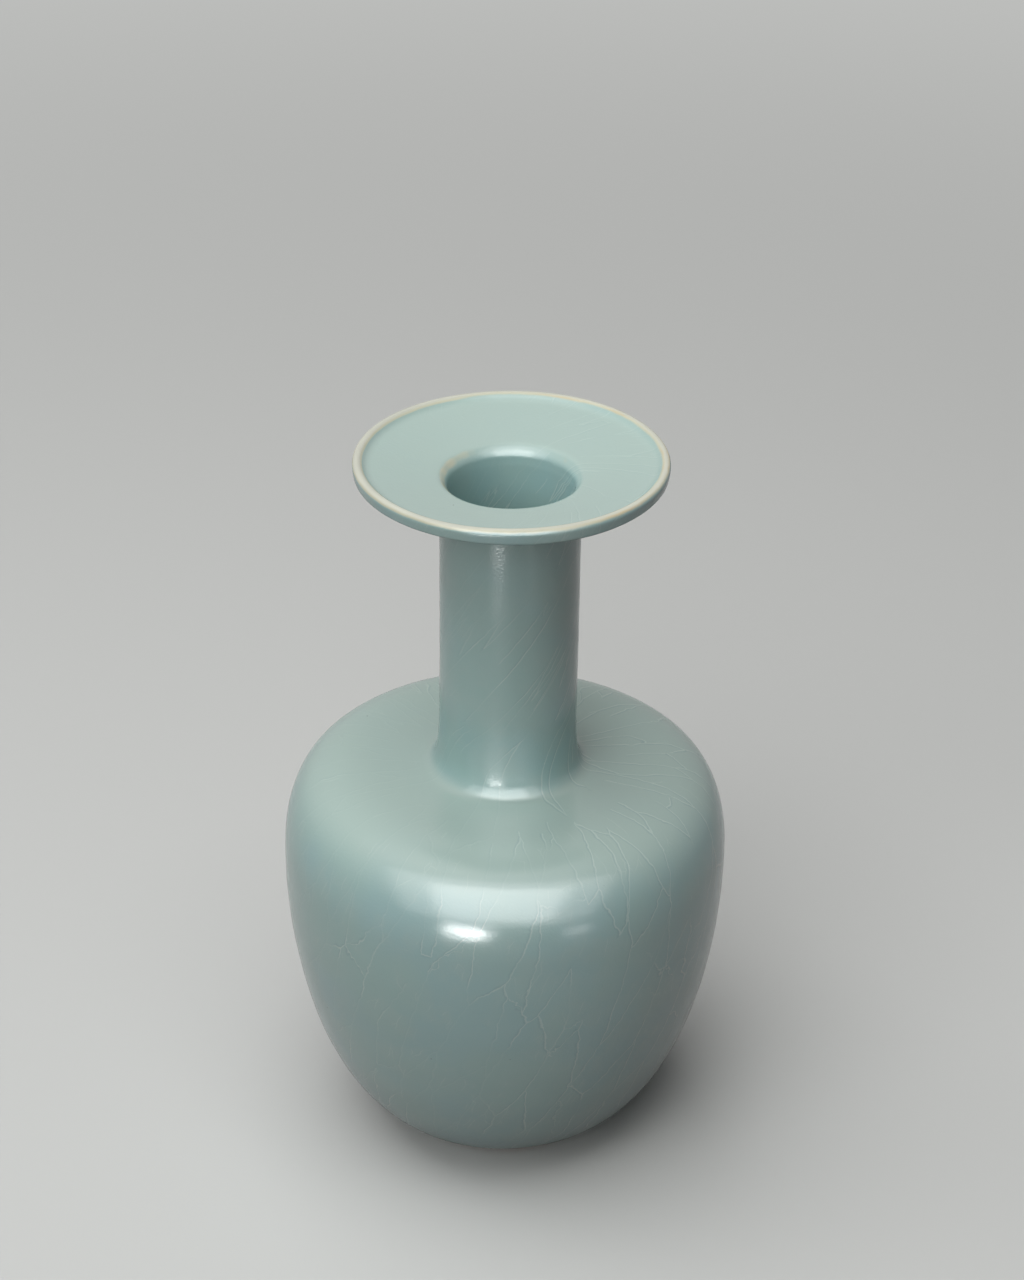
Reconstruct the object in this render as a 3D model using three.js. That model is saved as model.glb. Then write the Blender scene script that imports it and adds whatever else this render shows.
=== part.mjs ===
// A Chinese celadon vase with a dish-shaped mouth on a long straight neck and a round body.
// It is made as the potter makes it: a foot ring, two bowls, a neck and a dish, each thrown apart,
// luted together with films of slip, then turned and coated inside and out with one thick glaze
// that drains thin over the lip. Millimetres, +Z up, the foot stands on z = 0.
import * as THREE from "three";

// Heights, each counted from the one before it, starting at the table
const footHeight = 5.2;
const footCoveRise = 0.8;
const bowlTurnRise = 40;
const bellyRise = 48;
const shoulderRise = 35.5;
const neckFlareRise = 22;
const neckLength = 60;
const dishRise = 17.5;

// Radii of the finished, glazed surface
const footRadius = 32.4;
const footCoveRadius = 35;
const bowlTurnRadius = 61.9;
const bellyRadius = 68;
const creaseRadius = 29;
const neckRadius = 20.75;
const lipRadius = 45.5;

// How the belly swells: slopes from the level in degrees, and the reach of each curve from its ends
const footSlope = 13;
const footReach = 14.2;
const bowlTurnSlope = 75.4;
const bowlTurnReachDown = 14.8;
const bowlTurnReachUp = 13.3;
const bellyReachDown = 19.2;
const bellyReachUp = 21.2;
const shoulderSlope = 5;
const shoulderReach = 32.2;
const creaseReach = 3.9;
const neckReach = 14;
const filletReachUp = 3.6;
const filletReachOut = 3.7;

// The dish: a sloping floor inside an upright rounded lip, measured from the lip's top and radius
const undersideSlope = 20;
const undersideSpread = 5.25;
const lipDepth = 5;
const lipUndercut = 1.5;
const lipEdgeHeight = 3.6;
const lipEdgeInset = 0.2;
const lipEdgeReachOut = 0.8;
const lipEdgeReachUp = 0.9;
const lipShoulderHeight = 1.7;
const lipCrownWidth = 1.6;
const crownReachUp = 1;
const crownReachLevel = 0.95;
const lipWidth = 3.6;
const lipInnerDepth = 1.15;
const lipInnerSlope = 45;
const lipInnerReachUp = 0.8;
const lipInnerReachDown = 0.7;
const floorInset = 6;
const floorDepth = 2.25;
const floorReach = 1.4;
const throatDepth = 5.55;
const throatWidening = 1.8;
const throatRound = 3.5;
const throatLength = 4;
const throatReachIn = 1.4;
const throatReachDown = 3.2;

// Clay and its slip
const floorThickness = 5.9;
const bowlFloorSlope = 19.5;
const bowlFloorReach = 6;
const bowlFloorRound = 6.4;
const bowlFloorFlatRadius = 12.8;
const bowlFootWall = 6;
const bellyWall = 4.2;
const shoulderWall = 3.6;
const neckWall = 2.6;
const slipThickness = 0.5;
const seamClimb = 2;

// The foot ring
const footRingHeight = 4;
const footRingWidth = 5;
const footEdgeRound = 0.7;

// Glaze
const outerGlazeThickness = 0.9;
const innerGlazeThickness = 0.6;
const lipGlazeThickness = 0.3;
const baseGlazeThickness = 0.5;
const glazeLineHeight = 1.5;

// Facets around the vase, and along each curve of its section
const facets = 32;
const bowlSteps = 5;
const bellySteps = 2;
const shoulderSteps = 6;
const flareSteps = 4;
const filletSteps = 3;
const lipEdgeSteps = 1;
const outerCrownSteps = 3;
const innerCrownSteps = 2;
const dishFloorSteps = 2;
const throatSteps = 3;
const bowlFloorSteps = 2;

const { lerp, degToRad, radToDeg } = THREE.MathUtils;
const point = (radius, height) => new THREE.Vector2(radius, height);

// A point reached from another by a distance in a direction, the angle counted from outward level
function reach(from, degrees, distance) {
  const angle = degToRad(degrees);
  return point(from.x + distance * Math.cos(angle), from.y + distance * Math.sin(angle));
}

// A smooth stretch of section between two points with its two handles
function stretch(start, startHandle, endHandle, end, steps) {
  return new THREE.CubicBezierCurve(start, startHandle, endHandle, end).getPoints(steps);
}

// The finished surface as one line of stations, with the clay always on its left hand:
// up the outside, over the lip, across the dish and down the throat.
// A station knows its glaze, and up to the mouth seam the thickness of clay behind it
// and how far the inner end of its seam climbs along the wall.
const skin = [];

function lay(points, glaze, clay = [0, 0]) {
  points.forEach((at, i) => {
    if (i === 0 && skin.length > 0) return;
    const t = i / (points.length - 1);
    skin.push({ at, glaze: lerp(...glaze, t), clay: lerp(...clay, t), climb: 0 });
  });
  return skin.length - 1;
}

// A seam: a short straight run as long as the slip is thick. Both ends take the seam's own
// direction, and their inner ends climb together, so the slip is a bevelled ring of even thickness.
function laySeam(end, glaze, clay) {
  const start = skin[skin.length - 1];
  const seam = { climb: seamClimb, along: end.clone().sub(start.at).normalize() };
  Object.assign(start, seam);
  const last = lay([start.at, end], [glaze, glaze], [clay, clay]);
  Object.assign(skin[last], seam);
  return last;
}

const outer = outerGlazeThickness;
const inner = innerGlazeThickness;
const lip = lipGlazeThickness;

// Foot wall, with the foot ring's seam, and the cove under the belly
const footSlipTop = footRingHeight + slipThickness;
lay([point(footRadius, glazeLineHeight), point(footRadius, footRingHeight)], [outer, outer]);
const footSeam = skin.length - 1;
lay([point(footRadius, footRingHeight), point(footRadius, footSlipTop)], [outer, outer]);
lay([point(footRadius, footSlipTop), point(footRadius, footHeight)], [outer, outer]);
const cove = point(footCoveRadius, footHeight + footCoveRise);
const bowlStart = lay([point(footRadius, footHeight), cove], [outer, outer], [0, bowlFootWall]);

// Lower bowl up to the belly's widest, in two stretches that share a tangent
const bowlTurn = point(bowlTurnRadius, cove.y + bowlTurnRise);
const belly = point(bellyRadius, bowlTurn.y + bellyRise);
lay(
  stretch(
    cove,
    reach(cove, footSlope, footReach),
    reach(bowlTurn, bowlTurnSlope, -bowlTurnReachDown),
    bowlTurn,
    bowlSteps,
  ),
  [outer, outer],
  [bowlFootWall, bellyWall],
);
const bodySeam = lay(
  stretch(
    bowlTurn,
    reach(bowlTurn, bowlTurnSlope, bowlTurnReachUp),
    reach(belly, 90, -bellyReachDown),
    belly,
    bellySteps,
  ),
  [outer, outer],
  [bellyWall, bellyWall],
);
const shoulderStart = reach(belly, 90, slipThickness);
laySeam(shoulderStart, outer, bellyWall);

// Upper bowl over the shoulder to the crease where the neck stands
const inward = 180 - shoulderSlope;
const crease = point(creaseRadius, shoulderStart.y + shoulderRise);
const neckSeam = lay(
  stretch(
    shoulderStart,
    reach(shoulderStart, 90, bellyReachUp),
    reach(crease, inward, -shoulderReach),
    crease,
    shoulderSteps,
  ),
  [outer, outer],
  [bellyWall, shoulderWall],
);
const neckFoot = reach(crease, inward, slipThickness);
laySeam(neckFoot, outer, shoulderWall);

// Flared foot of the neck, then the straight neck
const neckStart = point(neckRadius, neckFoot.y + neckFlareRise);
const neckTop = point(neckRadius, neckStart.y + neckLength);
lay(
  stretch(
    neckFoot,
    reach(neckFoot, inward, creaseReach),
    reach(neckStart, 90, -neckReach),
    neckStart,
    flareSteps,
  ),
  [outer, outer],
  [shoulderWall, neckWall],
);
const mouthSeam = lay([neckStart, neckTop], [outer, outer], [neckWall, neckWall]);
const dishFoot = reach(neckTop, 90, slipThickness);
const mouthSeamTop = laySeam(dishFoot, outer, neckWall);

// Underside of the dish: a fillet off the neck, then a slope out to the lip's lower edge
const lipTop = dishFoot.y + dishRise;
const boreRadius = neckRadius - outer - neckWall - inner;
const lipUnder = point(lipRadius - lipUndercut, lipTop - lipDepth);
const undersideRadius = neckRadius + undersideSpread;
const undersideDrop = (lipUnder.x - undersideRadius) * Math.tan(degToRad(undersideSlope));
const underside = point(undersideRadius, lipUnder.y - undersideDrop);
lay(
  stretch(
    dishFoot,
    reach(dishFoot, 90, filletReachUp),
    reach(underside, undersideSlope, -filletReachOut),
    underside,
    filletSteps,
  ),
  [outer, outer],
);
lay([underside, lipUnder], [outer, outer]);

// The lip: a small lower edge, an upright wall, and a rounded crown where the glaze drains thin
const lipEdge = point(lipRadius - lipEdgeInset, lipTop - lipEdgeHeight);
const lipShoulder = point(lipRadius, lipTop - lipShoulderHeight);
const crown = point(lipRadius - lipCrownWidth, lipTop);
const lipInside = point(lipRadius - lipWidth, lipTop - lipInnerDepth);
const halfDrained = (outer + lip) / 2;
lay(
  stretch(
    lipUnder,
    reach(lipUnder, undersideSlope, lipEdgeReachOut),
    reach(lipEdge, 90, -lipEdgeReachUp),
    lipEdge,
    lipEdgeSteps,
  ),
  [outer, outer],
);
lay([lipEdge, lipShoulder], [outer, halfDrained]);
const outerCrown = stretch(
  lipShoulder,
  reach(lipShoulder, 90, crownReachUp),
  reach(crown, 0, crownReachLevel),
  crown,
  outerCrownSteps,
);
const innerCrown = stretch(
  crown,
  reach(crown, 180, crownReachLevel),
  reach(lipInside, lipInnerSlope, lipInnerReachUp),
  lipInside,
  innerCrownSteps,
);

// The drained band starts one facet up the outer crown and ends one facet down the inner crown
const lipBandStart = lay(outerCrown.slice(0, 2), [halfDrained, lip]);
lay(outerCrown.slice(1), [lip, lip]);
const lipBandEnd = lay(innerCrown.slice(0, 2), [lip, lip]);
lay(innerCrown.slice(1), [lip, inner]);

// The dish's floor, and the throat that rounds down into the bore of the neck
const floorOut = point(lipRadius - floorInset, lipTop - floorDepth);
const throatRadius = boreRadius + throatWidening;
const floorIn = point(throatRadius + throatRound, lipTop - throatDepth);
const floorSlope = radToDeg(Math.atan2(floorOut.y - floorIn.y, floorOut.x - floorIn.x));
const throat = point(throatRadius, floorIn.y - throatLength);
lay(
  stretch(
    lipInside,
    reach(lipInside, lipInnerSlope, -lipInnerReachDown),
    reach(floorOut, floorSlope, floorReach),
    floorOut,
    dishFloorSteps,
  ),
  [inner, inner],
);
lay([floorOut, floorIn], [inner, inner]);
lay(
  stretch(
    floorIn,
    reach(floorIn, floorSlope, -throatReachIn),
    reach(throat, 90, throatReachDown),
    throat,
    throatSteps,
  ),
  [inner, inner],
);

// Direction of the wall and the way into the clay at a station
function frameAt(i) {
  const before = skin[Math.max(i - 1, 0)].at;
  const after = skin[Math.min(i + 1, skin.length - 1)].at;
  const along = skin[i].along ?? after.clone().sub(before).normalize();
  return { along, inwards: point(-along.y, along.x) };
}

// A point behind a station: so deep in the wall, and so far along it
function behind(i, depth, climb) {
  const { along, inwards } = frameAt(i);
  return skin[i].at.clone().addScaledVector(inwards, depth).addScaledVector(along, climb);
}

// Finished surface and clay surface as two lines with the same stations, from the foot to the axis
const finished = skin.map((station) => station.at);
const clay = skin.map((station, i) => behind(i, station.glaze, 0));

// Inside the belly and neck both follow the outside at the wall's thickness, back down to the bowl
const innerIndex = (i) => skin.length + mouthSeamTop - i;
for (let i = mouthSeamTop; i >= bowlStart; i -= 1) {
  const { glaze, clay: wall, climb } = skin[i];
  clay.push(behind(i, glaze + wall, climb));
  finished.push(behind(i, glaze + wall + inner, climb));
}

// The bowl's floor rounds in from the wall to a flat middle, and ends on the axis
const floorTop = footSlipTop + floorThickness;
const bowlFloorEdge = clay[clay.length - 1];
const bowlFloorFlat = point(bowlFloorFlatRadius, floorTop);
const floorCurve = stretch(
  bowlFloorEdge,
  reach(bowlFloorEdge, bowlFloorSlope, -bowlFloorReach),
  reach(bowlFloorFlat, 0, bowlFloorRound),
  bowlFloorFlat,
  bowlFloorSteps,
);
for (const onFloor of [...floorCurve.slice(1), point(0, floorTop)]) {
  clay.push(onFloor);
  finished.push(point(onFloor.x, onFloor.y + inner));
}
const axisEnd = clay.length - 1;

// A stretch of a line, forwards or backwards
function part(line, from, to) {
  if (from <= to) return line.slice(from, to + 1);
  return line.slice(to, from + 1).reverse();
}

// A closed section turned about the axis into a solid
function turn(section) {
  const onAxis = section[0].x === 0;
  const profile = onAxis ? section : [...section, section[0]];
  const geometry = new THREE.LatheGeometry(profile, facets);
  geometry.rotateX(Math.PI / 2);
  return geometry;
}

// The foot ring: glazed wall above the glaze line, bare clay below it, flat under the foot
function footRing() {
  const outerRadius = clay[0].x;
  const innerRadius = outerRadius - footRingWidth;
  return [
    point(innerRadius + footEdgeRound, 0),
    point(outerRadius - footEdgeRound, 0),
    point(outerRadius, footEdgeRound),
    ...part(clay, 0, footSeam),
    point(innerRadius, footRingHeight),
    point(innerRadius, footEdgeRound),
  ];
}

// A flat film of slip on top of the foot ring
function footSlip() {
  const innerRadius = clay[0].x - footRingWidth;
  return [
    point(innerRadius, footRingHeight),
    clay[footSeam],
    clay[footSeam + 1],
    point(innerRadius, footSlipTop),
  ];
}

// The lower bowl with its floor, up to the seam at the belly's widest
function lowerBody() {
  return [
    point(0, footSlipTop),
    point(clay[0].x - footRingWidth, footSlipTop),
    ...part(clay, footSeam + 1, bodySeam),
    ...part(clay, innerIndex(bodySeam), axisEnd),
  ];
}

// Everything of the clay wall between two stations
function wall(from, to) {
  return [...part(clay, from, to), ...part(clay, innerIndex(to), innerIndex(from))];
}

// The dish with its lip, from the mouth seam out over the lip and back down the throat
function dish() {
  return part(clay, mouthSeamTop, innerIndex(mouthSeamTop));
}

// A coat of glaze between two stations: the finished surface out, the clay surface back
function coat(from, to) {
  return [...part(finished, from, to), ...part(clay, to, from)];
}

// The inner coat ends on the axis at the floor, so its section starts there too
function innerCoat() {
  return [...part(clay, axisEnd, lipBandEnd), ...part(finished, lipBandEnd, axisEnd)];
}

// Glaze on the bowl's underside, turned down the inside of the foot ring
function baseGlaze() {
  const ringInside = clay[0].x - footRingWidth;
  const glazeBottom = glazeLineHeight + baseGlazeThickness;
  return [
    point(0, footSlipTop - baseGlazeThickness),
    point(ringInside - baseGlazeThickness, footSlipTop - baseGlazeThickness),
    point(ringInside - baseGlazeThickness, glazeBottom),
    point(ringInside, glazeLineHeight),
    point(ringInside, footRingHeight),
    point(ringInside, footSlipTop),
    point(0, footSlipTop),
  ];
}

const glazeFinish = { color: 0xa9bab5, roughness: 0.22, metalness: 0 };
const drainedFinish = { color: 0xc9c3ad, roughness: 0.28, metalness: 0 };
const clayFinish = { color: 0xa39684, roughness: 0.85, metalness: 0 };
const slipFinish = { color: 0xb8ad9b, roughness: 0.8, metalness: 0 };
const footFinish = { color: 0x8a6248, roughness: 0.8, metalness: 0 };

const pieces = [
  ["foot_ring", footRing(), footFinish],
  ["foot_slip", footSlip(), slipFinish],
  ["lower_body", lowerBody(), clayFinish],
  ["body_slip", wall(bodySeam, bodySeam + 1), slipFinish],
  ["upper_body", wall(bodySeam + 1, neckSeam), clayFinish],
  ["neck_slip", wall(neckSeam, neckSeam + 1), slipFinish],
  ["neck", wall(neckSeam + 1, mouthSeam), clayFinish],
  ["mouth_slip", wall(mouthSeam, mouthSeamTop), slipFinish],
  ["dish_mouth", dish(), clayFinish],
  ["outer_glaze", coat(0, lipBandStart), glazeFinish],
  ["lip_glaze", coat(lipBandStart, lipBandEnd), drainedFinish],
  ["inner_glaze", innerCoat(), glazeFinish],
  ["base_glaze", baseGlaze(), glazeFinish],
];

const vase = new THREE.Group();
for (const [name, section, finish] of pieces) {
  const mesh = new THREE.Mesh(turn(section), new THREE.MeshStandardMaterial(finish));
  mesh.name = name;
  vase.add(mesh);
}

export default vase;
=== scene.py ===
# A celadon vase with a dish-shaped mouth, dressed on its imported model.
# The sections follow the potter: foot, clay, slip and glaze, and last the set that it stands in.
import math
from collections import namedtuple

import bpy
import numpy as np
from mathutils import Matrix, Vector
from mathutils.geometry import interpolate_bezier


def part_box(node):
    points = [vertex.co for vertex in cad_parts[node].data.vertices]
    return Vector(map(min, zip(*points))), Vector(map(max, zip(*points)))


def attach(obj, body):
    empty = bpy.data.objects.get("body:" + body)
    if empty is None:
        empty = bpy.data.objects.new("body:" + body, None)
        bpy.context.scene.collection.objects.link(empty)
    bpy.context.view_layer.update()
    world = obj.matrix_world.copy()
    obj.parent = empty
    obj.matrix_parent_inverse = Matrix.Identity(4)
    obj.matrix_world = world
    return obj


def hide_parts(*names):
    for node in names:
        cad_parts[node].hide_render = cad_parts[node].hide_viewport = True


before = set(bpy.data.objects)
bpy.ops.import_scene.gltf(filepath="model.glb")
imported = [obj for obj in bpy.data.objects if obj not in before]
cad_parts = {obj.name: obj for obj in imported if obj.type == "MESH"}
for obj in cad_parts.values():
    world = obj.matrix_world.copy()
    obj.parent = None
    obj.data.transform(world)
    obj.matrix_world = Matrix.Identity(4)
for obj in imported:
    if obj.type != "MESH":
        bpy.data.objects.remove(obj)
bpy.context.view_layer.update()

# The foot ring: a collar of stoneware luted under the bowl and turned true on the wheel.
# Its edge is wiped clean before the firing, so the clay stands bare there and burns iron-brown.
mm = 0.001
upwards = (0, 0, 1)
sides = 192

# Nearer the axis than this, a row of the wheel closes to a single point
near_axis = 1e-9
ring_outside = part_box("foot_ring")[1].x
ring_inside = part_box("base_glaze")[1].x
ring_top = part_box("foot_ring")[1].z
ring_round = 0.7 * mm
ring_chamfer = 1.2 * mm
ring_quarter = 0.55 * ring_round

# The hand's unevenness: waves round the wheel, waves in a metre of wall, start and height.
# It dies out towards the foot, which stands flat.
hand_waves = (
    (2, 2.0, 0.6, 0.07 * mm),
    (3, -5.0, 2.1, 0.05 * mm),
    (5, 9.0, 4.0, 0.02 * mm),
    (1, 14.0, 1.2, 0.03 * mm),
    (0, 60.0, 0.4, 0.02 * mm),
)
foot_calm = 8 * mm

# The kiln's unevenness: the belly leans and slackens, and the mouth leaves the level, by a tilt
# that grows up the neck with a power of the height
belly_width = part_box("outer_glaze")[1].x
shoulder_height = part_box("neck_slip")[1].z
dish_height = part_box("mouth_slip")[1].z
belly_lean = 0.3 * mm
belly_slack = 0.25 * mm
mouth_tilt = math.radians(0.41)
tilt_power = 3
mouth_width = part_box("lip_glaze")[1].x

# The crackle is laid out on a drum of one girth, squeezed lengthwise so that its cells are long.
# Its cracks lean from the upright, by a slope round the wheel at each height. Inside the core's
# radius they turn no faster than on it.
crackle_girth = 50 * mm
crackle_squeeze = 0.2
crackle_core = 10 * mm
crack_lean = ((0, 0.34), (100 * mm, 0.34), (128 * mm, 0.05), (150 * mm, 0.84), (215 * mm, 0.6))

Rows = namedtuple("Rows", "points normals places depths")


def srgb(red, green, blue):
    """A colour seen as 0 to 255, as the linear colour that a shader takes."""
    shares = [value / 255 for value in (red, green, blue)]
    linear = [((s + 0.055) / 1.055) ** 2.4 if s > 0.04045 else s / 12.92 for s in shares]
    return (*linear, 1)


def spot(radius, height, depth=0.0):
    """A point of a turned section: its radius, its height and the glaze's depth on it."""
    return Vector((radius, height, depth))


def ahead(point, degrees, distance):
    """The point a distance on from another, along a slope counted from level outwards."""
    slope = math.radians(degrees)
    return point + distance * Vector((math.cos(slope), math.sin(slope), 0))


def straight(line, end, steps=1):
    """Carries a section on in a straight run."""
    start = line[-1]
    line += [start.lerp(end, (i + 1) / steps) for i in range(steps)]


def bend(line, leave, reach, end, arrive, reach_back, steps):
    """Carries a section on in a curve from one slope to another. The reaches say how far the curve
    keeps to each slope."""
    start = line[-1]
    first = ahead(start, leave, reach)
    second = ahead(end, arrive, -reach_back)
    line += interpolate_bezier(start, first, second, end, steps + 1)[1:]


def settled(points):
    """The clay as the kiln leaves it: the belly a little to one side, the mouth off the level."""
    x, y, height = np.moveaxis(points, -1, 0)
    body = np.sin(math.pi * np.clip(height / shoulder_height, 0, 1))
    climb = (height - shoulder_height) / (dish_height - shoulder_height)
    mouth = np.clip(climb, 0, 1) ** tilt_power
    slack = 1 - belly_slack / belly_width * body
    drop = math.tan(mouth_tilt) * mouth * (x - mouth_width)
    return np.stack([slack * x - belly_lean * body, slack * y, height + drop], -1)


def thrown(line, closed=False):
    """A section turned on the wheel, a row for each of its points and a column for each side."""
    line = np.array(line)
    count = len(line)
    rows = np.arange(count)
    before = (rows - 1) % count if closed else np.maximum(rows - 1, 0)
    after = (rows + 1) % count if closed else np.minimum(rows + 1, count - 1)
    slope = (line[after] - line[before])[:, :2]
    slope /= np.linalg.norm(slope, axis=1)[:, None]
    step = np.linalg.norm(np.diff(line[:, :2], axis=0), axis=1)
    run = np.append(0, np.cumsum(step))
    turn = np.arange(sides) * 2 * math.pi / sides
    wave = sum(
        height * (np.sin(round_it * turn + 2 * math.pi * up_it * run[:, None] + start) - 1)
        for round_it, up_it, start, height in hand_waves
    )
    dent = np.clip(line[:, 1] / foot_calm, 0, 1)[:, None] * wave
    on_axis = line[:, 0] < near_axis
    dent[on_axis] = dent[on_axis, :1]
    radius = np.where(on_axis[:, None], 0, line[:, :1] + slope[:, 1:] * dent)
    height = line[:, 1:2] - slope[:, :1] * dent
    points = settled(np.stack([radius * np.cos(turn), radius * np.sin(turn), height], -1))
    sideways = np.roll(points, -1, 1) - np.roll(points, 1, 1)
    normals = np.cross(sideways, points[after] - points[before])
    for row in np.flatnonzero(on_axis):
        normals[row] = (0, 0, -slope[row, 0])
    normals /= np.linalg.norm(normals, axis=-1)[..., None]
    lean = np.interp(line[:, 1], *zip(*crack_lean))
    twist = np.cumsum(lean * np.gradient(run) / np.maximum(line[:, 0], crackle_core))
    angle = turn - twist[:, None]
    round_it = (crackle_girth * np.cos(angle), crackle_girth * np.sin(angle))
    up_it = np.broadcast_to(crackle_squeeze * run[:, None], angle.shape)
    return Rows(points, normals, np.stack([*round_it, up_it], -1), line[:, 2])


def joined(*stacks):
    """Rows one after another."""
    return Rows(*(np.concatenate(parts) for parts in zip(*stacks)))


def turned(name, rows, material, node):
    """A piece from the rows of its closed section. A row on the axis is a single point."""
    count = len(rows.points)
    index = np.arange(count * sides).reshape(count, sides)
    on_axis = np.ptp(rows.points, axis=1).max(1) < near_axis
    index[on_axis] = index[on_axis, :1]
    kept, index = np.unique(index, return_inverse=True)
    index = index.reshape(count, sides)
    above = np.roll(index, -1, 0)
    corners = np.stack([index, np.roll(index, -1, 1), np.roll(above, -1, 1), above], -1)
    faces = [list(dict.fromkeys(face)) for face in corners.reshape(-1, 4).tolist()]
    faces = [face for face in faces if len(face) > 2]
    mesh = bpy.data.meshes.new(name)
    mesh.from_pydata(rows.points.reshape(-1, 3)[kept].tolist(), [], faces)
    flow = mesh.attributes.new("crackle_place", "FLOAT_VECTOR", "POINT")
    flow.data.foreach_set("vector", rows.places.reshape(-1, 3)[kept].ravel())
    depth = mesh.attributes.new("glaze_depth", "FLOAT", "POINT")
    depth.data.foreach_set("value", np.repeat(rows.depths / mm, sides)[kept])
    mesh.shade_smooth()
    mesh.normals_split_custom_set_from_vertices(rows.normals.reshape(-1, 3)[kept].tolist())
    mesh.materials.append(material)
    piece = bpy.data.objects.new(name, mesh)
    bpy.context.scene.collection.objects.link(piece)
    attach(piece, "root")
    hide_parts(node)


class Wire:
    """What comes out of a shader node. A sum on it adds its Math nodes."""

    def __init__(self, recipe, socket):
        self.recipe = recipe
        self.socket = socket

    def beside(self, output):
        """Another output of the same node."""
        return Wire(self.recipe, self.socket.node.outputs[output])

    def math(self, operation, *others):
        """A Math node with this wire in its first socket."""
        sockets = dict(enumerate((self, *others)))
        return self.recipe.add("ShaderNodeMath", {"operation": operation}, sockets)

    def __add__(self, other):
        return self.math("ADD", other)

    __radd__ = __add__

    def __sub__(self, other):
        return self.math("SUBTRACT", other)

    def __rsub__(self, other):
        return self.math("MULTIPLY", -1) + other

    def __mul__(self, other):
        return self.math("MULTIPLY", other)

    __rmul__ = __mul__

    def __truediv__(self, other):
        return self.math("DIVIDE", other)

    def __abs__(self):
        return self.math("ABSOLUTE")


class Recipe:
    """The nodes of a material or of the world, mixed one by one."""

    def __init__(self, owner):
        self.owner = owner
        owner.use_nodes = True
        self.tree = owner.node_tree
        self.tree.nodes.clear()

    def add(self, kind, settings, sockets, output=0):
        """Adds a node: its settings first, then the value or the wire of each socket."""
        node = self.tree.nodes.new(kind)
        for key, value in settings.items():
            setattr(node, key, value)
        for key, value in sockets.items():
            if isinstance(value, Wire):
                self.tree.links.new(value.socket, node.inputs[key])
            else:
                node.inputs[key].default_value = value
        return Wire(self, node.outputs[output] if node.outputs else None)

    def place(self):
        """The point on the vase, in metres from the middle of its foot."""
        return self.add("ShaderNodeTexCoord", {}, {}, "Object")

    def vector(self, operation, *values, output=0):
        """Vector maths on wires and triples."""
        settings = {"operation": operation}
        return self.add("ShaderNodeVectorMath", settings, dict(enumerate(values)), output)

    def length(self, vector):
        """How long a vector is."""
        return self.vector("LENGTH", vector, output="Value")

    def along(self, vector, direction):
        """How far a vector goes along a direction."""
        return self.vector("DOT_PRODUCT", vector, direction, output="Value")

    def from_axis(self, place):
        """How far a point lies from the upright axis of the vase."""
        return self.length(self.vector("MULTIPLY", place, (1, 1, 0)))

    def cloud(self, place, lump, detail=2.0, output=0):
        """Soft noise from 0 to 1 with lumps of a size in metres."""
        sockets = {"Vector": place, "Scale": 1 / lump, "Detail": detail}
        return self.add("ShaderNodeTexNoise", {}, sockets, output)

    def rise(self, value, low, high, bottom=0.0, top=1.0):
        """A soft step from bottom to top while a value passes from low to high."""
        sockets = {"Value": value, 1: low, 2: high, 3: bottom, 4: top}
        return self.add("ShaderNodeMapRange", {"interpolation_type": "SMOOTHSTEP"}, sockets)

    def blend(self, share, first, second):
        """A colour between two, by the share of the second."""
        return self.add("ShaderNodeMix", {"data_type": "RGBA"}, {0: share, 6: first, 7: second}, 2)

    def relief(self, height, distance, under=None):
        """A bump whose height from 0 to 1 stands for a distance in metres."""
        sockets = {"Height": height, "Distance": distance}
        if under:
            sockets["Normal"] = under
        return self.add("ShaderNodeBump", {}, sockets)

    def close(self, surface, kind="ShaderNodeOutputMaterial"):
        """Ends the recipe with its shader."""
        self.add(kind, {}, {"Surface": surface})
        return self.owner


def earth(name, pale, dark, iron, ridge):
    """Fired stoneware: grain, turning marks as high as the ridge, and specks of iron."""
    mark_pitch = 0.9 * mm
    mark_sway = 6
    grain_height = 0.06 * mm
    mix = Recipe(bpy.data.materials.new(name))
    place = mix.place()
    run = mix.from_axis(place) + mix.along(place, upwards)
    sway = mark_sway * mix.cloud(place, lump=9 * mm)
    marks = (run * (2 * math.pi / mark_pitch) + sway).math("SINE")
    grain = mix.cloud(place, lump=0.35 * mm, detail=4)
    clouds = mix.cloud(place, lump=5 * mm, detail=5)
    specks = mix.rise(mix.cloud(place, lump=0.6 * mm, detail=1), 0.68, 0.74)
    colour = mix.blend(mix.rise(clouds, 0.35, 0.65), pale, dark)
    colour = mix.blend(0.25 * grain, colour, dark)
    colour = mix.blend(0.8 * specks, colour, iron)
    normal = mix.relief(grain, grain_height, mix.relief(0.5 + 0.5 * marks, ridge))
    finish = {"Base Color": colour, "Roughness": 0.7 + 0.2 * grain, "Normal": normal, "IOR": 1.45}
    return mix.close(mix.add("ShaderNodeBsdfPrincipled", {}, finish))


ring_line = [spot(ring_inside + ring_round, 0)]
straight(ring_line, spot(ring_outside - ring_chamfer, 0), 6)
bend(ring_line, 0, ring_round, spot(ring_outside, ring_chamfer), 90, ring_round, 6)
straight(ring_line, spot(ring_outside, ring_top), 4)
straight(ring_line, spot(ring_inside, ring_top), 4)
straight(ring_line, spot(ring_inside, ring_round), 4)
bend(ring_line, -90, ring_quarter, ring_line[0], 0, ring_quarter, 6)
ring_line.pop()
foot_clay = earth("foot_clay", srgb(150, 98, 66), srgb(104, 58, 36), srgb(48, 26, 18), 0.03 * mm)
turned("bare_foot_ring", thrown(ring_line, closed=True), foot_clay, "foot_ring")

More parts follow.
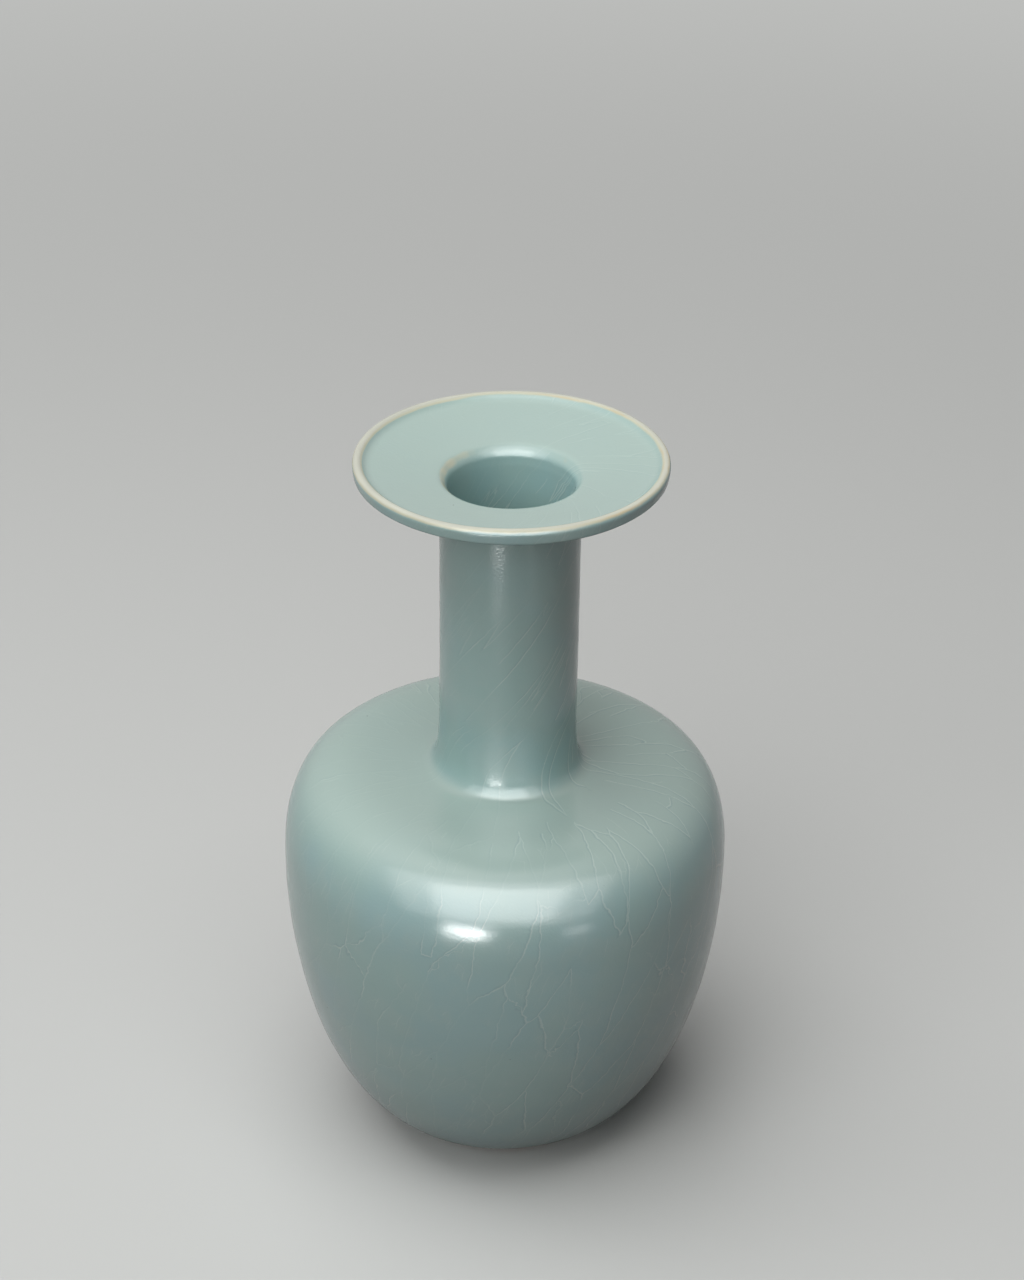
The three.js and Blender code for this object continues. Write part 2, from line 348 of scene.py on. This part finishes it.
# The lower bowl, thrown upright with a thick floor that rounds up into the wall. Its outside is
# laid here from the foot up and its inside from the axis out, both as the glazed surface lies.
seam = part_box("mouth_slip")[1].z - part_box("mouth_slip")[0].z
seam_climb = 2 * mm
coat_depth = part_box("outer_glaze")[1].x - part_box("lower_body")[1].x
inner_depth = 0.6 * mm
wiped_depth = 0.1 * mm
glaze_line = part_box("outer_glaze")[0].z
foot_radius = ring_outside + coat_depth
cove_foot = 5.2 * mm
foot_slope = 13
bowl_slope = 75.4
cove = spot(foot_radius + 2.6 * mm, 6 * mm, coat_depth)
bowl_turn = spot(61.9 * mm, 46 * mm, coat_depth)
belly = spot(belly_width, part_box("body_slip")[0].z, coat_depth)
belly_wall = 4.2 * mm
floor_height = 11 * mm
floor_flat = 12.8 * mm
floor_rise = 19
floor_edge = spot(31.8 * mm, 12.8 * mm, inner_depth)
hollow_turn = spot(56.35 * mm, 47.3 * mm, inner_depth)
hollow_radius = belly_width - coat_depth - belly_wall - inner_depth
hollow = spot(hollow_radius, belly.y + seam_climb, inner_depth)

outside = [spot(ring_outside, glaze_line, wiped_depth)]
bend(outside, 0, 0.5 * mm, spot(foot_radius, glaze_line + mm, coat_depth), 90, 0.5 * mm, 6)
straight(outside, spot(foot_radius, ring_top, coat_depth), 2)
foot_joint = len(outside) - 1
straight(outside, spot(foot_radius, ring_top + seam, coat_depth))
straight(outside, spot(foot_radius, cove_foot, coat_depth))
bend(outside, 90, 0.5 * mm, cove, foot_slope, 1.6 * mm, 6)
bend(outside, foot_slope, 14.2 * mm, bowl_turn, bowl_slope, 14.8 * mm, 36)
bend(outside, bowl_slope, 13.3 * mm, belly, 90, 19.2 * mm, 22)
inside = [spot(0, floor_height, inner_depth)]
straight(inside, spot(floor_flat, floor_height, inner_depth), 3)
bend(inside, 0, 6.4 * mm, floor_edge, floor_rise, 6 * mm, 6)
bend(inside, floor_rise, 12 * mm, hollow_turn, bowl_slope, 13 * mm, 22)
bend(inside, bowl_slope, 13 * mm, hollow, 90, 18.5 * mm, 14)
belly_joint = (len(outside) - 1, len(inside) - 1)

# The upper bowl: stoneware thrown apart and turned over onto the lower one, for the upper belly
# and the broad shoulder. The shoulder flattens inwards until it is almost level at the neck.
shoulder_slope = 177
mouth_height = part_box("mouth_slip")[0].z
crease = spot(29 * mm, mouth_height - 84.9 * mm, coat_depth)
crease_inside = spot(26 * mm, crease.y - 4.1 * mm, inner_depth)

straight(outside, ahead(belly, 90, seam))
bend(outside, 90, 38 * mm, crease, shoulder_slope, 17 * mm, 44)
straight(inside, ahead(hollow, 90, seam))
bend(inside, 90, 33 * mm, crease_inside, shoulder_slope, 14 * mm, 24)
crease_joint = (len(outside) - 1, len(inside) - 1)

# The neck: a straight tube of the same stoneware, thrown on its own and set on the shoulder.
# It flares into the shoulder in a soft fillet, and slip holds the two together.
neck_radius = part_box("mouth_slip")[1].x + coat_depth
flare_top = crease.y + 21 * mm
neck_wall = 2.6 * mm
bore_radius = neck_radius - coat_depth - neck_wall - inner_depth
throat_start = spot(bore_radius, mouth_height - 16 * mm, inner_depth)
throat_slope = 86

straight(outside, ahead(crease, shoulder_slope, seam))
bend(outside, shoulder_slope, 4.5 * mm, spot(neck_radius, flare_top, coat_depth), 90, 18 * mm, 30)
straight(outside, spot(neck_radius, mouth_height, coat_depth), 20)
straight(inside, ahead(crease_inside, shoulder_slope, seam))
bend(inside, shoulder_slope, 5 * mm, spot(bore_radius, flare_top, inner_depth), 90, 20 * mm, 16)
straight(inside, throat_start, 9)
bore_end = spot(bore_radius + 0.7 * mm, mouth_height + seam_climb, inner_depth)
bend(inside, 90, 7 * mm, bore_end, throat_slope, 5 * mm, 10)
mouth_joint = (len(outside) - 1, len(inside) - 1)

# The dish: thrown wide and shallow, its floor sloping up from a rounded throat to an upright lip
# with a small lower edge. The glaze drains off the lip's crown and off the edge of the throat.
lip_depth = 0.3 * mm
throat_depth = 0.56 * mm
half_drained = (coat_depth + lip_depth) / 2
lip_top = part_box("lip_glaze")[1].z
lip_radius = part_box("dish_mouth")[1].x + half_drained
underside_slope = 20
lip_slope = 85
lip_fall = 45
throat_turn = 82
throat_rim = 48
lip_under = spot(lip_radius - 1.5 * mm, lip_top - 5 * mm, coat_depth)
fillet_reach = 5.25 * mm
fillet_end = neck_radius + fillet_reach
fillet_drop = (lip_under.x - fillet_end) * math.tan(math.radians(underside_slope))
underside = spot(fillet_end, lip_under.y - fillet_drop, coat_depth)
lip_edge = spot(lip_radius - 0.2 * mm, lip_top - 3.6 * mm, coat_depth)
lip_shoulder = spot(lip_radius, lip_top - 1.7 * mm, half_drained)
crown = spot(lip_radius - 1.6 * mm, lip_top, lip_depth)
crown_steps = 14
lip_inside = spot(lip_radius - 3.6 * mm, lip_top - 1.15 * mm, inner_depth)
floor_out = spot(lip_radius - 6 * mm, lip_top - 2.25 * mm, inner_depth)
floor_in = spot(bore_radius + 5.3 * mm, lip_top - 5.55 * mm, inner_depth)
floor_slope = math.degrees(math.atan2(floor_out.y - floor_in.y, floor_out.x - floor_in.x))
throat_edge = spot(bore_radius + 3 * mm, floor_in.y - 1.1 * mm, throat_depth)
throat = spot(bore_radius + 1.35 * mm, floor_in.y - 4 * mm, inner_depth)

straight(outside, ahead(outside[-1], 90, seam))
bend(outside, 90, 3.6 * mm, underside, underside_slope, 3.7 * mm, 10)
straight(outside, lip_under, 8)
bend(outside, underside_slope, 0.8 * mm, lip_edge, lip_slope, 0.9 * mm, 7)
bend(outside, lip_slope, 0.5 * mm, lip_shoulder, 90, 0.6 * mm, 5)
bend(outside, 90, mm, crown, 180, 0.95 * mm, crown_steps)
straight(inside, ahead(inside[-1], throat_slope, seam))
bend(inside, throat_slope, 2.4 * mm, throat, throat_turn, 2.2 * mm, 8)
bend(inside, throat_turn, 1.5 * mm, throat_edge, throat_rim, 0.9 * mm, 8)
bend(inside, throat_rim, 0.9 * mm, floor_in, floor_slope, 1.1 * mm, 8)
straight(inside, floor_out, 14)
bend(inside, floor_slope, 1.4 * mm, lip_inside, lip_fall, 0.7 * mm, 8)
bend(inside, lip_fall, 0.8 * mm, crown, 0, 0.95 * mm, crown_steps)

# The clay that the four sections are thrown from: a fine pale brown stoneware, trimmed to an even
# wall while it is leather-hard. It is never seen, since glaze covers all of it, so a third of the
# rows is enough for it.
vase_skin = thrown(outside + inside[-2::-1])
axis_row = len(outside) + len(inside) - 2
clay_stride = 3


def behind(skin, *spans):
    """The face of the clay from one row of a skin to another, as deep as the glaze on it."""
    index = [np.unique(np.append(np.arange(a, b, clay_stride), b)) for a, b in spans]
    rows = Rows(*(part[np.concatenate(index)] for part in skin))
    return rows._replace(points=rows.points - rows.depths[:, None, None] * rows.normals)


def hoops(*places):
    """Level rings inside the clay, each a radius and a height."""
    return thrown([spot(*place) for place in places])


def wall(lower, upper):
    """The two faces of the wall between two joints, up the outside and down the inside."""
    outer_face = (lower[0] + 1, upper[0])
    inner_face = (axis_row - upper[1], axis_row - lower[1] - 1)
    return behind(vase_skin, outer_face, inner_face)


body_clay = earth("body_clay", srgb(168, 155, 136), srgb(141, 126, 106), srgb(70, 48, 36), 0.08 * mm)
bowl_outside = (foot_joint + 1, belly_joint[0])
bowl_inside = (axis_row - belly_joint[1], axis_row)
bowl_faces = behind(vase_skin, bowl_outside, bowl_inside)
bowl_base = hoops((0, ring_top + seam), (ring_inside, ring_top + seam))
turned("lower_bowl", joined(bowl_faces, bowl_base), body_clay, "lower_body")
turned("upper_bowl", wall(belly_joint, crease_joint), body_clay, "upper_body")
turned("neck_tube", wall(crease_joint, mouth_joint), body_clay, "neck")
dish_faces = behind(vase_skin, (mouth_joint[0] + 1, axis_row - mouth_joint[1] - 1))
turned("dish_and_lip", dish_faces, body_clay, "dish_mouth")

# The slip: a film of the same clay stirred with water, which sticks each section to the next.
# It is squeezed thin and wiped flush at the seams, and fires a little paler than the wall.
joint_slip = earth("joint_slip", srgb(188, 177, 158), srgb(166, 153, 133), srgb(92, 66, 48), 0.02 * mm)
ring_slip = joined(
    behind(vase_skin, (foot_joint, foot_joint + 1)),
    hoops((ring_inside, ring_top + seam), (ring_inside, ring_top)),
)
turned("slip_on_foot", ring_slip, joint_slip, "foot_slip")
joints = {"body_slip": belly_joint, "neck_slip": crease_joint, "mouth_slip": mouth_joint}
for node, (out, within) in joints.items():
    film = behind(vase_skin, (out, out + 1), (axis_row - within - 1, axis_row - within))
    turned(node.replace("_slip", "_seam"), film, joint_slip, node)

# The glaze outside: a thick celadon coat from the wiped foot to the shoulder of the lip. It is
# dipped in several layers and fired until it is soft and waxy, and cracks in long lines as it cools.


def coat(name, skin, first, last, material, node):
    """A coat of glaze from one row of a skin to another, with its back on the clay."""
    front = Rows(*(part[first : last + 1] for part in skin))
    back = Rows(*(part[::-1] for part in behind(skin, (first, last))))
    turned(name, joined(front, back._replace(normals=-back.normals)), material, node)


def crack_net(mix, place, flow, cell, wander, number):
    """How far the nearest crack is, on which side of it the point lies, where its painted shadow
    falls, and how clean the crack is.
    The net's cells have a size and wander a distance, and its number sets it apart from other nets."""
    # The net is bent by a slow sway and by small kinks, both more round the wheel than up the wall
    half = (0.5, 0.5, 0.5)
    kink = (2 * mm, 2 * mm, 0.5 * mm)
    drift = mix.vector("ADD", flow, (number, number, number))
    sway = mix.vector("SUBTRACT", mix.cloud(drift, 20 * mm, 5, "Color"), half)
    kinks = mix.vector("SUBTRACT", mix.cloud(place, 5 * mm, 3, "Color"), half)
    seen = mix.vector("ADD", flow, mix.vector("MULTIPLY", sway, (wander, wander, 0.5 * wander)))
    seen = mix.vector("ADD", seen, mix.vector("MULTIPLY", kinks, kink))
    shifted = mix.vector("ADD", seen, (number, 0, 0))
    tiles = {"Vector": shifted, "Scale": 1 / cell}
    nets = [
        mix.add("ShaderNodeTexVoronoi", {"feature": order}, tiles, "Position")
        for order in ("F1", "F2")
    ]

    # A crack runs midway between the two nearest cells, square to the gap between them
    gap = mix.vector("SUBTRACT", nets[1], nets[0])
    middle = mix.vector("MULTIPLY", mix.vector("ADD", nets[0], nets[1]), half)
    off = mix.along(mix.vector("SUBTRACT", shifted, middle), gap)
    sideways = mix.vector("NORMALIZE", mix.vector("CROSS_PRODUCT", upwards, flow))
    radius = mix.from_axis(place)
    round_it = mix.along(gap, sideways)
    up_it = mix.along(gap, upwards)
    reach = mix.length(gap)

    # It shows where the gap lies in the wall, not through it, and where the two cells differ by
    # enough: some cracks have healed, more of them on the narrow neck than on the belly
    cut = mix.rise((round_it * round_it + up_it * up_it) / (reach * reach), 0.05, 0.2)
    ranks = [mix.along(net.beside("Color"), (1, 0, 0)) for net in nets]
    healed = mix.rise(radius, 30 * mm, 50 * mm, 0.36, 0.04)
    cut = cut * mix.rise(abs(ranks[0] - ranks[1]) - healed, 0, 0.02)

    # The distance is taken back from the drum to the wall itself
    stretch = crackle_girth * round_it / radius
    squeeze = crackle_squeeze * up_it
    distance = abs(off) / (stretch * stretch + squeeze * squeeze).math("SQRT")
    return distance, mix.rise(round_it, -0.2 * mm, 0.2 * mm), cut


def celadon(name):
    """The glaze: blue-green where it is thick, cream where it drained, with a fine crackle whose
    glints and side shadows are painted, and a painted sheen where it faces up.
    """
    mix = Recipe(bpy.data.materials.new(name))
    place = mix.place()
    flow = mix.add("ShaderNodeAttribute", {"attribute_name": "crackle_place"}, {}, "Vector")
    depth = mix.add("ShaderNodeAttribute", {"attribute_name": "glaze_depth"}, {}, "Fac")
    facing = mix.add("ShaderNodeTexCoord", {}, {}, "Normal")
    east = mix.along(place, (1, 0, 0))
    height = mix.along(place, upwards)
    upward = mix.along(facing, upwards)
    radius = mix.from_axis(place)

    # The body colour drifts between three blue-greens, and where it faces up it is paler and greyer: a
    # painted sheen of the light from above, and partly the thinner glaze there
    blue = srgb(141, 172, 172)
    green = srgb(144, 173, 169)
    grey = srgb(148, 173, 169)
    painted_sheen_grey = srgb(158, 176, 169)
    patches = mix.cloud(place, lump=34 * mm, detail=2)
    clouds = mix.cloud(place, lump=9 * mm, detail=3)
    colour = mix.blend(mix.rise(patches, 0.38, 0.62), blue, green)
    colour = mix.blend(0.5 * mix.rise(clouds, 0.4, 0.7), colour, grey)
    # Painted sheen: the colour turns paler and greyer as the surface faces up
    colour = mix.blend(mix.rise(upward, 0.2, 1.0, 0, 0.85), colour, painted_sheen_grey)

    # Long cracks painted pale, as the light glinting in them, with a painted shadow on one side,
    # stronger in some regions than in others and fainter in the dish, and a finer net of painted
    # glints that shows only on the broad belly
    crack_glint = srgb(196, 212, 206)
    crack_shadow_colour = srgb(110, 138, 138)
    favour = mix.cloud(place, lump=26 * mm, detail=2) + 0.17 * east / radius
    faint = mix.rise(height, dish_height, dish_height + 5 * mm, 1, 0.45)
    seen = mix.rise(favour, 0.46, 0.62, 0.2, 1) * faint
    distance, shadow_side, cut = crack_net(mix, place, flow, cell=7.4 * mm, wander=4 * mm, number=0.37)
    line = mix.rise(distance, 0.1 * mm, 0.32 * mm, 1, 0) * seen * cut
    crack_shadow = mix.rise(distance, 0.25 * mm, 0.9 * mm, 1, 0) * shadow_side * seen * cut
    fine_distance, _, fine_cut = crack_net(mix, place, flow, cell=4.6 * mm, wander=4 * mm, number=0.91)
    broad = mix.rise(radius, 34 * mm, 50 * mm) * fine_cut * mix.rise(clouds, 0.5, 0.66)
    fine = mix.rise(fine_distance, 0.05 * mm, 0.2 * mm, 1, 0) * broad
    # Painted shadow beside the long cracks, then painted glints along the fine and the long cracks
    colour = mix.blend(0.25 * crack_shadow, colour, crack_shadow_colour)
    colour = mix.blend(0.14 * fine, colour, crack_glint)
    colour = mix.blend(0.32 * line, colour, crack_glint)

    # Where the coat is thin it has drained to cream, with ochre along the edge of the thick glaze.
    # The depth is in millimetres here, and the coat thins a little more on one side of the lip.
    thin_side = mix.rise(east, -20 * mm, -8 * mm, 1, 0) * mix.rise(depth, 0.565, 0.595, 1, 0)
    uneven = depth + 0.16 * (mix.cloud(place, lump=5 * mm, detail=3) - 0.5) - 0.1 * thin_side
    cream = mix.blend(mix.rise(patches, 0.4, 0.6), srgb(190, 191, 177), srgb(183, 184, 171))
    ochre = mix.blend(mix.rise(favour, 0.5, 0.75), srgb(188, 184, 158), srgb(190, 168, 124))
    rusty = mix.rise(uneven, 0.3, 0.4) * mix.rise(uneven, 0.44, 0.56, 1, 0)
    colour = mix.blend(mix.rise(uneven, 0.35, 0.5, 1, 0), colour, cream)
    colour = mix.blend(0.7 * rusty, colour, ochre)

    # A few dark specks of iron
    iron = srgb(70, 66, 58)
    speck_tiles = {"Vector": place, "Scale": 1 / (11 * mm)}
    speck_net = mix.add("ShaderNodeTexVoronoi", {}, speck_tiles, "Distance")
    specks = mix.rise(speck_net, 0.012, 0.026, 1, 0)
    colour = mix.blend(0.55 * specks, colour, iron)

    # The skin is uneven at three sizes: slow swells, an orange peel and a fine grain
    swell = mix.relief(patches, 0.25 * mm)
    peel = mix.relief(mix.cloud(place, lump=2.6 * mm, detail=2), 0.02 * mm, swell)
    skin = mix.relief(mix.cloud(place, lump=0.7 * mm, detail=2), 0.035 * mm, peel)
    finish = {"Base Color": colour, "Roughness": 0.14 + 0.08 * clouds, "IOR": 1.85, "Normal": skin}
    return mix.close(mix.add("ShaderNodeBsdfPrincipled", {}, finish))


glaze = celadon("celadon_glaze")
crown_row = len(outside) - 1
drained_rows_out = 9
drained_rows_in = 7
lip_start = crown_row - drained_rows_out
lip_end = crown_row + drained_rows_in
coat("glaze_outside", vase_skin, 0, lip_start, glaze, "outer_glaze")

# The lip: the same coat, which drains off the rounded edge while it is molten. What stays is so
# thin that the clay shows through, cream with a line of ochre where the glaze begins again.
coat("drained_lip", vase_skin, lip_start, lip_end, glaze, "lip_glaze")

# The glaze inside: poured in, swilled round and poured out again over the dish. It rounds the
# edge of the throat, where it thins, and runs down the bore of the neck into the belly.
coat("glaze_inside", vase_skin, lip_end, axis_row, glaze, "inner_glaze")

# The glaze under the base: brushed onto the bowl inside the foot ring, where it pools in the
# corner and stops short of the bare rim in a soft roll.
base_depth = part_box("base_glaze")[1].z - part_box("foot_slip")[0].z
base_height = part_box("base_glaze")[1].z - base_depth
base_radius = ring_inside - base_depth
base_corner = 1.6 * mm
roll_height = 0.3 * mm
roll_depth = 0.05 * mm
roll_end = spot(ring_inside - roll_depth, glaze_line, roll_depth)
base_line = [spot(0, base_height, base_depth)]
straight(base_line, spot(base_radius - base_corner, base_height, base_depth), 16)
corner_end = spot(base_radius, base_height - base_corner, base_depth)
bend(base_line, 0, 0.9 * mm, corner_end, 270, 0.9 * mm, 8)
straight(base_line, spot(base_radius, glaze_line + roll_height, base_depth))
bend(base_line, 270, 0.2 * mm, roll_end, 315, 0.2 * mm, 5)
coat("glaze_under_base", thrown(base_line), 0, len(base_line) - 1, glaze, "base_glaze")

# The set: a wide pale floor that runs out of sight, and the same pale tone beyond it. Both look
# pale to the camera and in the gloss, and the floor sends only a little of its light back up.
floor_reach = 40
pale = srgb(190, 191, 189)
dim = srgb(56, 58, 57)
haze_start = 0.3
haze_end = 1.4
room_light = 0.02
white = (1, 1, 1, 1)
floor_mesh = bpy.data.meshes.new("floor")
signs = ((-1, -1), (1, -1), (1, 1), (-1, 1))
corners = [(x * floor_reach, y * floor_reach, 0) for x, y in signs]
floor_mesh.from_pydata(corners, [], [(0, 1, 2, 3)])
floor = bpy.data.objects.new("floor", floor_mesh)
bpy.context.scene.collection.objects.link(floor)


def shown(mix):
    """1 for what the camera sees, also in gloss and through glass, and 0 for light that spreads."""
    kinds = ("Is Camera Ray", "Is Glossy Ray", "Is Transmission Ray")
    rays = [mix.add("ShaderNodeLightPath", {}, {}, kind) for kind in kinds]
    return (rays[0] + rays[1] + rays[2]).math("MINIMUM", 1)


mix = Recipe(bpy.data.materials.new("floor_paper"))
far_off = mix.rise(mix.length(mix.place()), haze_start, haze_end)
paper = mix.add("ShaderNodeBsdfDiffuse", {}, {"Color": pale})
haze = mix.add("ShaderNodeEmission", {}, {"Color": pale, "Strength": 1.0})
dark_paper = mix.add("ShaderNodeBsdfDiffuse", {}, {"Color": dim})
lit = mix.add("ShaderNodeMixShader", {}, {0: far_off, 1: paper, 2: haze})
floor_look = mix.add("ShaderNodeMixShader", {}, {0: shown(mix), 1: dark_paper, 2: lit})
floor_mesh.materials.append(mix.close(floor_look))

world = bpy.data.worlds.new("studio")
bpy.context.scene.world = world
mix = Recipe(world)
soft = mix.add("ShaderNodeBackground", {}, {"Color": white, "Strength": room_light})
beyond = mix.add("ShaderNodeBackground", {}, {"Color": pale, "Strength": 1.0})
world_look = mix.add("ShaderNodeMixShader", {}, {0: shown(mix), 1: soft, 2: beyond})
mix.close(world_look, "ShaderNodeOutputWorld")

# The lights: a panel overhead and one in front, which light only the body of the glaze, and a
# softbox with a dim edge and two low strips, which show only in its gloss. Each is placed as the
# vase sees it: a direction, an angle across and up, and a glow, where 1 looks white.
aim = Vector((0, 0, 0.12))
watts_for_glow = 4


def lamp(
    name, azimuth, elevation, across, tall, glow, distance=1.8, spread=180, gloss=True, body=True
):
    """A soft panel in a direction from the vase. It may light only the gloss or only the body."""
    turn = math.radians(azimuth)
    climb = math.radians(elevation)
    level_share = math.cos(climb)
    away = Vector((math.sin(turn) * level_share, -math.cos(turn) * level_share, math.sin(climb)))
    data = bpy.data.lights.new(name, "AREA")
    data.shape = "RECTANGLE"
    data.size = 2 * distance * math.tan(math.radians(across / 2))
    data.size_y = 2 * distance * math.tan(math.radians(tall / 2))
    data.energy = watts_for_glow * glow * data.size * data.size_y
    data.spread = math.radians(spread)
    light = bpy.data.objects.new(name, data)
    light.location = aim + distance * away
    light.rotation_euler = away.to_track_quat("Z", "Y").to_euler()
    light.visible_glossy = gloss
    light.visible_diffuse = body
    bpy.context.scene.collection.objects.link(light)


lamp("overhead", -60, 78, 60, 50, 3.05, gloss=False)
lamp("front_panel", -26, 33, 50, 30, 2.3, gloss=False)
lamp("softbox", -4, 30, 60, 56, 2.7, body=False)
lamp("softbox_edge", -4, 30, 100, 84, 0.9, body=False)
lamp("strip_left", -17, -10, 20, 9, 0.8, distance=0.5, spread=50, body=False)
lamp("strip_right", 33, -12, 10, 5, 0.15, distance=0.5, spread=50, body=False)

# The camera: a 75 mm lens a little above the mouth, looking down at the vase, and slightly rolled.
# It is placed from the middle of the lip's widest circle.
lens = 75
widest_drop = 1.6 * mm
pitch = math.radians(30.3655)
roll = math.radians(0.886)
camera_distance = 758.25 * mm
aside = 0.15 * mm
below = 51.09 * mm
mouth_middle = Vector((0, 0, lip_top - widest_drop))
forward = Vector((0, math.cos(pitch), -math.sin(pitch)))
level = Vector((1, 0, 0))
upright = Vector((0, math.sin(pitch), math.cos(pitch)))
right = math.cos(roll) * level + math.sin(roll) * upright
up = math.cos(roll) * upright - math.sin(roll) * level
camera_data = bpy.data.cameras.new("camera")
camera_data.lens = lens
camera = bpy.data.objects.new("camera", camera_data)
stand = mouth_middle - camera_distance * forward + aside * right - below * up
turn = Matrix((right, up, -forward)).transposed().to_4x4()
camera.matrix_world = Matrix.Translation(stand) @ turn
bpy.context.scene.collection.objects.link(camera)
bpy.context.scene.camera = camera
bpy.context.scene.view_settings.view_transform = "Standard"
